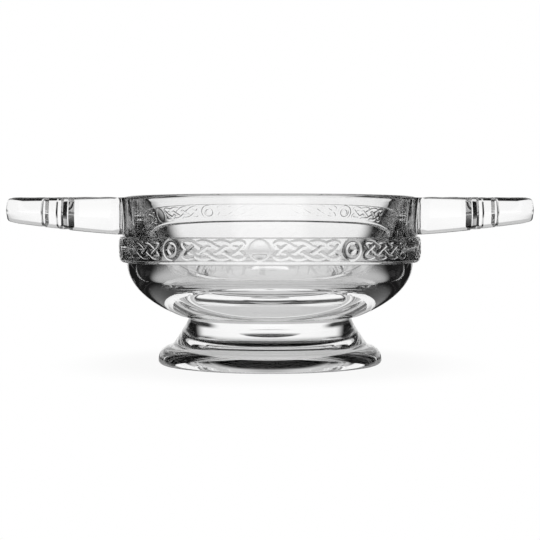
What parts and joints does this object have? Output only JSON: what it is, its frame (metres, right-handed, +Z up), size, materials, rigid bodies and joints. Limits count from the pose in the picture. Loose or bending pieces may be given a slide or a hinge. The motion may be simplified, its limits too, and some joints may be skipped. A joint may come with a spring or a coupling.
{
  "type": "quaich",
  "caption": "Shallow two-lugged drinking bowl in clear pressed glass, on a flared foot, with an interlaced band and bosses round its collar.",
  "frame": {"origin": "centre of the plane that the foot rests on", "axes": "+X along the right lug, +Y from the front face to the back, +Z up out of the bowl's mouth"},
  "size_m": [0.193, 0.111, 0.061],
  "materials": {
    "clear_glass": "clear polished pressed glass"
  },
  "bodies": {
    "root": {"bowl": "clear_glass", "knotwork": "clear_glass", "foot": "clear_glass", "lug_left": "clear_glass", "lug_right": "clear_glass"}
  },
  "joints": []
}
